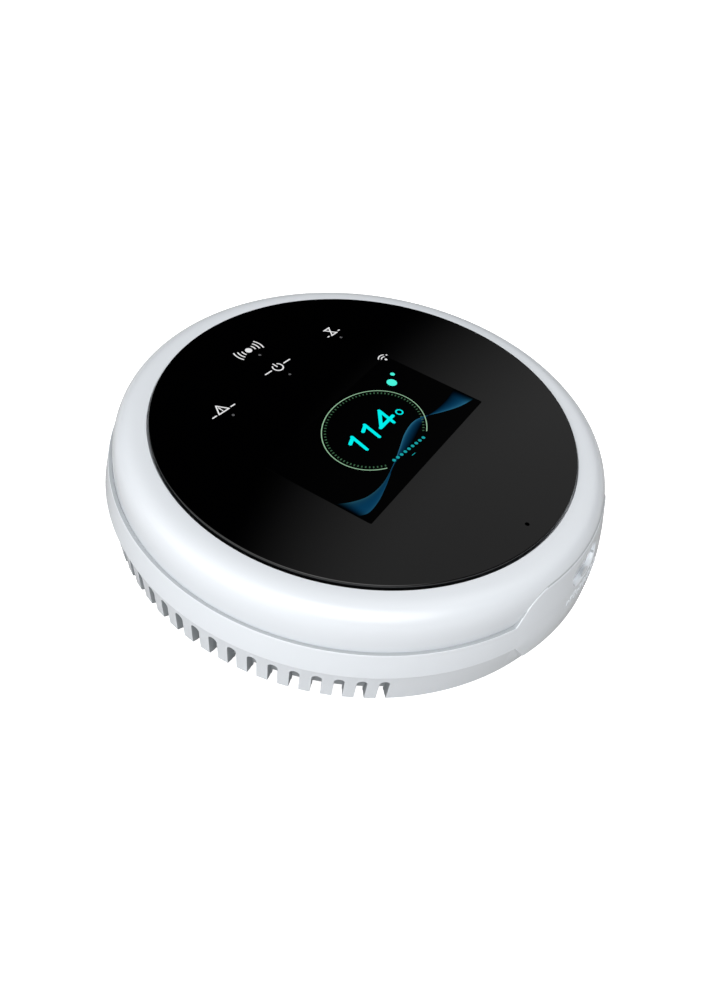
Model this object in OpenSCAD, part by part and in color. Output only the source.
// Round carbon monoxide detector with a display, lying on its back.
// Origin: centre of the wall bracket's back face. +Z points out of the front panel,
// +X runs along the display, and -Y is the side with the power inlet.
// Lengths are millimetres and angles are degrees.

/* [Node] */

/* [Outline] */
// Widest radius, at the lower edge of the upper wall
body_r = 50; // [49.6:0.1:50.4]
// Radius of the wall's top edge, where the ledge is
ledge_r = 49.2; // [49.1:0.1:49.4]
// Radius of the bottom rim
rim_r = 48.4; // [48.2:0.1:48.8]
// Height of the front panel's face above the wall
front_z = 23; // [22.9:0.1:23.4]
// Height of the ledge
ledge_z = 14.1; // [14:0.1:14.4]
// Height of the wall's widest line
crease_z = 8.75; // [8.6:0.05:8.9]
// Height of the band's lower edge above the wall
rim_z = 0.6; // [0.4:0.1:0.7]

/* [Bezel] */
// Radius of the opening the panel drops into
bezel_in_r = 41.8; // [41.7:0.1:42]
// Radius of the bezel's foot
bezel_foot_r = 48.4; // [48.2:0.1:48.5]
// Height of the bezel's foot
bezel_foot_z = 13.8; // [13.6:0.1:13.9]
// Height of the bezel's crown
bezel_top_z = 22.2; // [22:0.1:22.4]
// Squareness of the bezel's curve (2 is an ellipse)
bezel_n = 3.2; // [2.6:0.1:3.4]
// Points along the bezel's curve
bezel_steps = 22; // [12:1:30]

/* [Vents] */
// Number of arched notches in the bottom rim
vent_count = 56; // [40:1:56]
// Angle from one notch to the next
vent_pitch = 4.59; // [4.5:0.01:4.6]
// Direction of the middle of the row of notches
vent_mid = 91.5; // [90:0.5:91.5]
// Width of a notch
vent_w = 1.8; // [1.4:0.1:2]
// Height of the top of a notch above the wall
vent_top_z = 6.5; // [5.2:0.1:6.6]

/* [Raised boss] */
// Half angle of the raised boss at its foot
boss_half = 25; // [24.5:0.5:26]
// Half angle of the boss's flat top
boss_flat = 15; // [14:0.5:17]
// Height of the boss's outer edge
boss_z = 19.3; // [19:0.1:19.5]
// Half angle over which the wall reaches down over the lower band
flush_half = 24; // [22:0.5:24]

/* [Power inlet] */
// Height of the inlet's centre
inlet_z = 15.35; // [15.3:0.05:15.4]
// Width of the inlet's outer recess
inlet_w = 10.6; // [10.2:0.1:11]
// Height of the inlet's outer recess
inlet_h = 4.8; // [4.6:0.1:5]

/* [Front panel] */
// Radius of the front panel
panel_r = 41.5; // [41.3:0.1:41.6]
// Thickness of the front panel
panel_t = 2; // [1.8:0.1:2]
// Width of the clear window
window_w = 43.6; // [43:0.1:44]
// Height of the clear window
window_h = 23; // [22.8:0.1:23.2]
// Window centre [x, y]
window_c = [-1.4, -3.6];
// Diameter of the pinhole
pinhole_d = 0.9; // [0.8:0.1:1.5]
// Pinhole centre [x, y]
pinhole_c = [-5.5, -37.3];
// Diameter of the light pipes' tips
tip_d = 0.6; // [0.5:0.1:1.2]

/* [Test button] */
// Direction of the button from the centre
button_az = -51; // [-53:1:-50]
// Height of the button's centre
button_z = 11.2; // [11.1:0.1:11.4]
// Length of the button's face
button_w = 8; // [7:0.5:9]
// Height of the button's face
button_h = 3.2; // [3:0.1:3.4]

/* [Wall bracket] */
// Radius of the bracket's plate
bracket_r = 45.5; // [45:0.1:45.6]
// Distance between the two screw holes
screw_spacing = 60; // [50:1:62]
// Diameter of the screw holes
screw_hole_d = 4.5; // [4:0.1:5]
// Angle covered by each lock lug
lug_angle = 18; // [16:1:19]

/* [Hidden] */
$fn = 96;
e = 0.01;
panel_z = front_z - panel_t;
tape_t = 0.2;
deck_z = panel_z - tape_t;
deck_t = 1.6;
deck_low = deck_z - deck_t;
floor_z = 6;
floor_t = 1.6;
floor_top = floor_z + floor_t;
wall_in_r = 46.9;
rim_in_r = 45.9;
rim_low_z = 0.1;
apron_z = 4;
apron_slant = 6.6;
skirt_in_r = 46.3;
skirt_low = 9;
joint_r = bezel_foot_r + 0.05;
boss_in_r = 46.1;
pcb_z = 11.4;
pcb_t = 1.6;
pcb_top = pcb_z + pcb_t;
pcb_r = 40;
post_r = 42;
post_az = [90, 210, 330];
// led and light pipe centres: fault, alarm, power, life
led_c = [[-15.1, 20.8], [3.5, 28], [2.3, 19.7], [19.8, 18.6]];
// screws that hold the circuit board
board_screw_c = [[-35.5, 6.3], [23.1, 27.6], [35.9, -3.1], [-13.5, -33.4]];
lcd_c = [0.57, -3.6];
lcd_w = 49.72;
lcd_h = 25.8;
tray_ear = [[-20, 15.4], [20, 15.4], [-20, -15.4], [20, -15.4]];
cell_c = [-27, 18.5];
cell_r = 7;
buzzer_c = [12.5, -28];
wifi_c = [-17, -23];
hook_az = [30, 150, 270];

// --- shared shapes ---------------------------------------------------------

// a box centred on [x, y], standing on z
module block(c, size, z) {
    translate([c[0] - size[0] / 2, c[1] - size[1] / 2, z]) cube(size);
}

// an upright cylinder centred on [x, y]
module post(c, d, z, h) {
    translate([c[0], c[1], z]) cylinder(d = d, h = h);
}

// a flat-topped oblong bar lying along x, extruded along +y
module oblong(w, h, depth) {
    rotate([-90, 0, 0]) linear_extrude(depth) {
        square([w - h, h], center = true);
        for (s = [-1, 1]) translate([s * (w - h) / 2, 0]) circle(d = h, $fn = 48);
    }
}

// a wedge of a revolved outline, centred on the direction az
module sector(az, half) {
    rotate([0, 0, az - half]) rotate_extrude(angle = 2 * half) children();
}

// the bezel's outer curve, from the crown to the foot
function bezel_curve() = [for (i = [0:bezel_steps])
    let (a = 90 * i / bezel_steps)
    [bezel_in_r + 0.2 + (bezel_foot_r - bezel_in_r - 0.2) * pow(sin(a), 2 / bezel_n),
     bezel_foot_z + (bezel_top_z - bezel_foot_z) * pow(max(cos(a), 0), 2 / bezel_n)]];

// how far the boss has climbed, from 0 at its foot (t = 0) to 1 at its flat top (t = 1)
function boss_climb(t) = let (v = t * t / (t + 0.06)) 1 - pow(1 - v, 2.6);

// edge of the boss seen from the -y side, from its flat top down to the ledge
function boss_edge(side, grow) = [for (i = [0:12])
    let (t = side > 0 ? i / 12 : 1 - i / 12, a = boss_flat + (boss_half - boss_flat) * t)
    [side * (ledge_r * sin(a) + grow),
     ledge_z - 0.2 + (boss_z + 0.7 - ledge_z) * boss_climb(1 - t) + grow]];

// the boss: a strip of wall that climbs the bezel, clipped by its S-shaped top edge
module boss_wall(grow) {
    intersection() {
        sector(-90, boss_half + 1) polygon([
            [boss_in_r - grow, ledge_z - 2 - grow], [ledge_r - 0.4, ledge_z - 2 - grow],
            [ledge_r - 0.1, ledge_z - 0.3], [48.1, boss_z],
            [47.2, boss_z + 0.3 + grow], [boss_in_r - grow, boss_z + 0.3 + grow]]);
        translate([0, -30, 0]) rotate([90, 0, 0]) linear_extrude(25) polygon(concat(
            [[-ledge_r * sin(boss_half) - grow, ledge_z - 5.1]],
            boss_edge(-1, grow), boss_edge(1, grow),
            [[ledge_r * sin(boss_half) + grow, ledge_z - 5.1]]));
    }
}

// --- front -----------------------------------------------------------------

module front_panel() {
    color([0.02, 0.02, 0.025]) difference() {
        rotate_extrude($fn = 192) polygon([[0, panel_z], [panel_r - 0.3, panel_z],
            [panel_r, panel_z + 0.3], [panel_r, front_z - 0.15], [panel_r - 0.15, front_z],
            [0, front_z]]);
        block(window_c, [window_w, window_h, panel_t + 2], panel_z - 1);
        for (c = led_c) post(c, tip_d + 0.1, panel_z - 1, panel_t + 2);
        post(pinhole_c, pinhole_d, panel_z - 1, panel_t + 2);
    }
}

module display_window() {
    color([0.05, 0.05, 0.06, 0.4])
        block(window_c, [window_w - 0.1, window_h - 0.1, panel_t - 0.02], panel_z);
}

module light_pipes() {
    color([0.75, 0.77, 0.8]) for (c = led_c) {
        post(c, 2.4, pcb_top + 1, deck_z - pcb_top - 1);
        post(c, tip_d, deck_z - e, front_z - 0.03 - deck_z + e);
        post(c, 4, deck_low - 0.8, 0.8);
    }
}

module top_housing() {
    color([0.9, 0.92, 0.95]) difference() {
        union() {
            rotate_extrude($fn = 192) polygon(concat(
                [[0, deck_low], [0, deck_z], [bezel_in_r, deck_z], [bezel_in_r, bezel_top_z]],
                bezel_curve(),
                [[bezel_foot_r - 0.1, bezel_foot_z - 0.3], [bezel_foot_r - 0.1, skirt_low + 0.05],
                 [skirt_in_r, skirt_low + 0.05], [skirt_in_r, deck_low - 2.4],
                 [skirt_in_r - 2.7, deck_low]]));
            for (a = post_az) rotate([0, 0, a]) post([post_r, 0], 6.4, floor_top, deck_low - floor_top + 1);
            // heat stakes that hold the display tray
            for (p = tray_ear) {
                post(lcd_c + p, 1.8, deck_low - 2.1, 2.1 + e);
                post(lcd_c + p, 3.2, deck_low - 2.6, 0.7);
            }
        }
        boss_wall(0.08);
        sector(-90, boss_half + 0.3) polygon([[boss_in_r - 0.5, skirt_low - 1], [50, skirt_low - 1],
            [50, bezel_foot_z - 0.2], [boss_in_r - 0.5, bezel_foot_z - 0.2]]);
        block(lcd_c, [lcd_w + 0.4, lcd_h + 0.4, deck_t + 2], deck_low - 1);
        block([lcd_c[0] + lcd_w / 2 + 1.5, lcd_c[1]], [4, 13, deck_t + 2], deck_low - 1);
        for (c = led_c) post(c, 2.6, deck_low - 1, deck_t + 2);
        post(pinhole_c, 2.4, deck_low - 1, deck_t + 2);
        for (a = post_az) rotate([0, 0, a]) post([post_r, 0], 2, floor_top - 1, 9);
        rotate([0, 0, button_az + 90]) translate([0, -49, button_z])
            oblong(button_w + 0.4, button_h + 0.4, 4);
    }
}

module display_gasket() {
    color([0.08, 0.08, 0.08]) difference() {
        block(lcd_c, [49, 25.2, panel_z - 20.6], 20.6);
        block(window_c, [window_w + 0.3, window_h + 0.3, 2], 20);
    }
}

module panel_tape() {
    color([0.3, 0.3, 0.3]) difference() {
        translate([0, 0, deck_z]) cylinder(r = 40.8, h = tape_t, $fn = 128);
        translate([0, 0, deck_z - 1]) cylinder(r = 31.5, h = 2, $fn = 128);
        post(pinhole_c, 3, deck_z - 1, 2);
    }
}

// --- base ------------------------------------------------------------------

module base_shell() {
    rotate_extrude($fn = 192) polygon([[0, floor_z], [rim_in_r, floor_z], [rim_in_r, rim_low_z],
        [47.1, rim_low_z], [rim_r, rim_z],
        [body_r - 0.65, crease_z - 0.25], [body_r, crease_z], [ledge_r, ledge_z],
        [joint_r, ledge_z], [joint_r, skirt_low], [wall_in_r, skirt_low],
        [wall_in_r, floor_top], [0, floor_top]]);
    boss_apron();
    // thicker wall behind the boss
    sector(-90, boss_half - 0.5) polygon([[boss_in_r - 0.3, floor_top - 0.3], [48.8, floor_top - 0.3],
        [48.8, ledge_z - 0.4], [boss_in_r - 0.3, ledge_z - 0.4]]);
    boss_wall(0);
}

// the wall reaches down over the band below the boss, between two slanted edges
module boss_apron() {
    foot_half = flush_half - apron_slant;
    intersection() {
        sector(-90, boss_half + 2) polygon([[47.5, 1.6], [48, 1.6], [body_r - 0.45, apron_z],
            [body_r - 0.06, crease_z + 0.2], [47.5, crease_z + 0.2]]);
        translate([0, -30, 0]) rotate([90, 0, 0]) linear_extrude(25) polygon([
            [-body_r * sin(foot_half), 1.3], [body_r * sin(foot_half), 1.3],
            [body_r * sin(flush_half), crease_z + 0.35], [-body_r * sin(flush_half), crease_z + 0.35]]);
    }
}

// an arched pocket in the band, with a low slot under its back wall
module vent_notch() {
    translate([46.4, 0, 0]) rotate([90, 0, 90]) linear_extrude(4) {
        translate([-vent_w / 2, -1]) square([vent_w, vent_top_z - vent_w / 2 + 1]);
        translate([0, vent_top_z - vent_w / 2]) circle(d = vent_w, $fn = 24);
    }
    translate([45.2, 0, 0]) rotate([90, 0, 90]) linear_extrude(1.4)
        translate([-vent_w / 2 + 0.1, -1]) square([vent_w - 0.2, 2.4]);
}

// hook that holds one lug of the bracket: a stalk, an inward lip and an end stop
module lock_hook(a) {
    sector(a, lug_angle / 2) polygon([[41.9, floor_z + 0.4], [44, floor_z + 0.4], [44, 2.6], [39, 2.6],
        [39, 4.2], [41.9, 4.2]]);
    rotate([0, 0, a + lug_angle / 2 + 0.7]) translate([39.3, -0.6, 2.9]) cube([4.4, 1.4, floor_z - 2.8]);
}

// generic raised marks below the inlet: a row of short ribs
module boss_marks() {
    for (i = [-5:5]) rotate([0, 0, -90 + 1.5 * i])
        translate([49, -0.33, 10.2]) cube([0.87, 0.66, [1.7, 1, 1.4][(i + 6) % 3]]);
}

module base_housing() {
    color([0.9, 0.92, 0.95]) difference() {
        union() {
            base_shell();
            boss_marks();
            for (c = board_screw_c) post(c, 5.4, floor_top - 0.3, pcb_z - floor_top + 0.3);
            difference() {
                post(cell_c, 16.9, floor_top - 0.3, 3.1);
                post(cell_c, 14.3, floor_top - 1, 5);
            }
            for (a = hook_az) lock_hook(a);
        }
        for (i = [0:vent_count - 1]) rotate([0, 0, vent_mid + vent_pitch * (i - (vent_count - 1) / 2)])
            vent_notch();
        // power inlet: outer recess and the opening for the socket
        translate([0, -52, inlet_z]) oblong(inlet_w, inlet_h, 4.2);
        translate([0, -49, inlet_z]) oblong(9.3, 3.6, 4);
        rotate([0, 0, button_az + 90]) translate([0, -52, button_z])
            oblong(button_w + 0.2, button_h + 0.2, 6);
        for (c = board_screw_c) post(c, 1.9, floor_top + 0.2, 6);
        for (a = post_az) rotate([0, 0, a]) post([post_r, 0], 2.7, floor_z - 1, 4);
        // holes that let air up to the cell
        post(cell_c, 2, floor_z - 1, 4);
        for (a = [0:60:300]) post(cell_c + 3.6 * [cos(a), sin(a)], 2, floor_z - 1, 4);
    }
}

module housing_screws() {
    color([0.6, 0.6, 0.62]) for (a = post_az) rotate([0, 0, a]) difference() {
        union() {
            post([post_r, 0], 5, floor_z - 1.7, 1.7);
            post([post_r, 0], 1.9, floor_z - e, 8.8);
        }
        for (r = [0, 90]) translate([post_r, 0, floor_z - 1.8]) rotate([0, 0, r])
            translate([-1.4, -0.3, 0]) cube([2.8, 0.6, 1]);
    }
}

module rating_label() {
    color([0.8, 0.8, 0.78]) translate([0, 0, floor_z - 0.15]) cylinder(r = 22, h = 0.15);
}

// --- wall bracket ----------------------------------------------------------

module wall_bracket() {
    color([0.88, 0.9, 0.92]) difference() {
        union() {
            cylinder(r = bracket_r, h = 2, $fn = 128);
            for (a = hook_az) {
                sector(a, lug_angle / 2 + 4) polygon([[36, 1], [38, 1], [38, 5.6], [36, 5.6]]);
                sector(a, lug_angle / 2 - 0.5) polygon([[37.5, 4.4], [41.5, 4.4], [41.5, 5.6], [37.5, 5.6]]);
            }
        }
        translate([0, 0, -1]) cylinder(r = 16, h = 4);
        for (s = [-1, 1]) {
            post([s * screw_spacing / 2, 0], screw_hole_d, -1, 4);
            post([s * screw_spacing / 2, 0], 8, 1.4, 2);
        }
        // openings under the cell's inlet and for screw drivers
        for (a = [90, 210, 330]) sector(a, 14) polygon([[21, -1], [32, -1], [32, 3], [21, 3]]);
    }
}

// --- controls --------------------------------------------------------------

module test_button() {
    color([0.9, 0.92, 0.95]) rotate([0, 0, button_az + 90]) union() {
        translate([0, -50, button_z]) oblong(button_w, button_h, 4.5);
        translate([-6, -45.6, button_z - 2.1]) cube([12, 0.9, 4.2]);
        translate([-1.5, -45.1, 9.2]) cube([3, 3.9, 1.6]);
    }
}

module test_switch() {
    color([0.15, 0.15, 0.16]) rotate([0, 0, button_az + 90]) difference() {
        translate([-3, -39.8, 8.6]) cube([6, 4.5, pcb_z - 8.6]);
        translate([0, -40, 10]) rotate([-90, 0, 0]) cylinder(d = 1.7, h = 2, $fn = 48);
    }
}

module test_plunger() {
    color([0.85, 0.85, 0.8]) rotate([0, 0, button_az + 90])
        translate([0, -41.15, 10]) rotate([-90, 0, 0]) cylinder(d = 1.6, h = 2.4, $fn = 48);
}

module reset_switch() {
    color([0.15, 0.15, 0.16]) difference() {
        block(pinhole_c, [3, 2.4, 2], pcb_top);
        post(pinhole_c, 1.5, pcb_top + 0.6, 3);
    }
}

module reset_plunger() {
    color([0.85, 0.85, 0.8]) post(pinhole_c, 1.4, pcb_top + 1.1, 2.4, $fn = 48);
}

// --- power inlet -----------------------------------------------------------

module inlet_shell() {
    color([0.75, 0.76, 0.78]) translate([0, -47.6, inlet_z]) difference() {
        oblong(8.94, 3.26, 7.35);
        translate([0, -1, 0]) oblong(8.34, 2.66, 7.6);
    }
}

module inlet_tongue() {
    color([0.1, 0.1, 0.1]) {
        translate([-3.35, -46.9, inlet_z - 0.35]) cube([6.7, 5.6, 0.7]);
        translate([0, -41.4, inlet_z]) oblong(8.3, 2.62, 0.4);
        // riser that lifts the socket off the board
        block([0, -43], [8, 4.2, inlet_z - 1.63 - pcb_top], pcb_top);
    }
}

// --- circuit board and what it carries --------------------------------------

module main_board() {
    color([0.05, 0.3, 0.15]) difference() {
        union() {
            translate([0, 0, pcb_z]) cylinder(r = pcb_r, h = pcb_t, $fn = 128);
            block([0, -41.6], [13, 7.2, pcb_t], pcb_z);
        }
        for (a = post_az) rotate([0, 0, a]) post([post_r, 0], 7.6, pcb_z - 1, pcb_t + 2);
        for (c = board_screw_c) post(c, 2.4, pcb_z - 1, pcb_t + 2);
        post(cell_c, 14.8, pcb_z - 1, pcb_t + 2);
    }
}

module board_screws() {
    color([0.6, 0.6, 0.62]) for (c = board_screw_c) difference() {
        union() {
            post(c, 4, pcb_top, 1.5);
            post(c, 1.8, pcb_top - 4.6, 4.6 + e);
        }
        for (r = [0, 90]) translate([c[0], c[1], pcb_top + 0.8]) rotate([0, 0, r])
            translate([-1.1, -0.25, 0]) cube([2.2, 0.5, 1]);
    }
}

module co_cell() {
    color([0.8, 0.8, 0.82]) union() {
        post(cell_c, 2 * cell_r - 0.6, 8.5, 0.6);
        post(cell_c, 2 * cell_r, 9.1, 8);
        post(cell_c, 2 * cell_r - 2, 17.1 - e, 0.6);
    }
}

// two welded strips from the cell down to the board
module cell_tabs() {
    color([0.8, 0.8, 0.75]) translate([cell_c[0], cell_c[1], 0]) {
        for (a = [-115, -160]) rotate([0, 0, a]) {
            translate([3, -0.9, 17.7]) cube([5.8, 1.8, 0.2]);
            translate([8.6, -0.9, pcb_top]) cube([0.2, 1.8, 4.9 - e + 0.02]);
        }
    }
}

module cell_seal() {
    color([0.12, 0.12, 0.12]) difference() {
        post(cell_c, 14, 7.9, 0.6);
        post(cell_c, 10, 7, 3);
    }
}

module inlet_mesh() {
    color([0.55, 0.56, 0.58]) difference() {
        post(cell_c, 13, floor_top, 0.3);
        for (i = [-4:4], j = [-4:4]) if (norm([i, j]) < 4.3)
            block(cell_c + [i, j] * 1.1, [0.75, 0.75, 2], floor_top - 1);
    }
}

module wifi_board() {
    color([0.05, 0.1, 0.3]) block(wifi_c, [16, 12, 0.8], pcb_top);
}

module wifi_can() {
    color([0.7, 0.71, 0.72]) block([wifi_c[0] + 1.6, wifi_c[1]], [11.6, 10.6, 2.2], pcb_top + 0.8);
}

module controller_chip() {
    color([0.08, 0.08, 0.08]) union() {
        block([-2, -3], [10, 10, 1.3], pcb_top + 0.1);
        // leads on the four sides
        for (a = [0:90:270], i = [-5:5]) translate([-2, -3, pcb_top]) rotate([0, 0, a])
            translate([4.9, i * 0.8 - 0.15, 0]) cube([1.1, 0.3, 0.3]);
    }
}

module status_leds() {
    color([0.95, 0.95, 0.85]) for (c = led_c) block(c, [1.6, 0.8, 0.7], pcb_top);
}

module capacitors() {
    color([0.7, 0.7, 0.72]) for (c = [[32, 7.6], [31, 15.4]]) union() {
        block(c, [6.4, 6.4, 0.9], pcb_top);
        post(c, 6.3, pcb_top + 0.9 - e, 4.6);
    }
}

module inductor() {
    color([0.2, 0.2, 0.2]) union() {
        block([31.5, -12.5], [6, 6, 0.6], pcb_top);
        post([31.5, -12.5], 5.6, pcb_top + 0.6 - e, 2.4);
    }
}

// small parts soldered across the board
module chip_parts() {
    color([0.55, 0.5, 0.45]) {
        for (i = [0:4]) block([-12 + 2.6 * i, 6], [1.6, 0.8, 0.6], pcb_top);
        for (i = [0:3]) block([6.5 + 2.4 * i, -12.5], [0.8, 1.6, 0.6], pcb_top);
        for (i = [0:3]) block([-34.5, -2 - 2.6 * i], [1.6, 0.8, 0.6], pcb_top);
        block([24.2, -17.8], [5, 4, 1.5], pcb_top);
        block([-7, 30], [5, 4, 1.5], pcb_top);
    }
}

module buzzer_case() {
    color([0.1, 0.1, 0.1]) difference() {
        post(buzzer_c, 17, pcb_top, 5.6);
        post(buzzer_c, 15.4, pcb_top - 1, 3.2);
        post(buzzer_c, 13.8, pcb_top - 1, 5.8);
        post(buzzer_c, 3.6, pcb_top, 7);
    }
}

module buzzer_disc() {
    color([0.8, 0.65, 0.3]) post(buzzer_c, 15.3, pcb_top + 1.95, 0.25);
}

// --- display ---------------------------------------------------------------

module lcd_glass() {
    color([0.05, 0.06, 0.08]) block(lcd_c, [48.8, 25.2, 0.8], 19.8);
}

module lcd_backlight() {
    color([0.95, 0.95, 0.95]) block(lcd_c, [48.6, 24.6, 0.8], 19);
}

module lcd_frame() {
    color([0.7, 0.7, 0.72]) difference() {
        block(lcd_c, [lcd_w, lcd_h, 1], 18.8);
        block(lcd_c, [48.7, 24.7, 2], 19);
    }
}

module display_tray() {
    color([0.15, 0.15, 0.16]) difference() {
        union() {
            block(lcd_c, [52.4, 28.6, deck_low - 17.4], 17.4);
            for (p = tray_ear) post(lcd_c + p, 4.8, 17.4, deck_low - 17.4);
        }
        block(lcd_c, [lcd_w + 0.3, lcd_h + 0.3, 3], 18.8);
        block([lcd_c[0] + lcd_w / 2 + 1, lcd_c[1]], [4, 13, 5], 16);
        for (p = tray_ear) post(lcd_c + p, 1.9, 16, 5);
    }
}

// flexible strip that folds from the display's end to its socket
module lcd_ribbon() {
    color([0.75, 0.45, 0.15]) translate([25.6, lcd_c[1] + 6, 0]) rotate([90, 0, 0]) linear_extrude(12) {
        translate([-0.15, 19.45]) square([0.16, 0.15]);
        translate([0, 16.75]) difference() {
            circle(r = 2.85);
            circle(r = 2.7);
            translate([-6, -6]) square([6, 12]);
        }
        translate([-2.8, 13.9]) square([2.81, 0.15]);
    }
}

module ribbon_socket() {
    color([0.85, 0.83, 0.75]) difference() {
        block([22, lcd_c[1]], [3.8, 14, 1.5], pcb_top);
        block([24, lcd_c[1]], [3, 12.2, 0.25], 13.85);
    }
}

// --- one line for each piece -------------------------------------------------

front_panel();
display_window();
light_pipes();
top_housing();
base_housing();
wall_bracket();
rating_label();
housing_screws();
test_button();
test_switch();
test_plunger();
reset_switch();
reset_plunger();
inlet_shell();
inlet_tongue();
main_board();
board_screws();
co_cell();
cell_tabs();
cell_seal();
inlet_mesh();
wifi_board();
wifi_can();
controller_chip();
status_leds();
capacitors();
inductor();
chip_parts();
buzzer_case();
buzzer_disc();
lcd_glass();
lcd_backlight();
lcd_frame();
display_tray();
display_gasket();
lcd_ribbon();
ribbon_socket();
panel_tape();
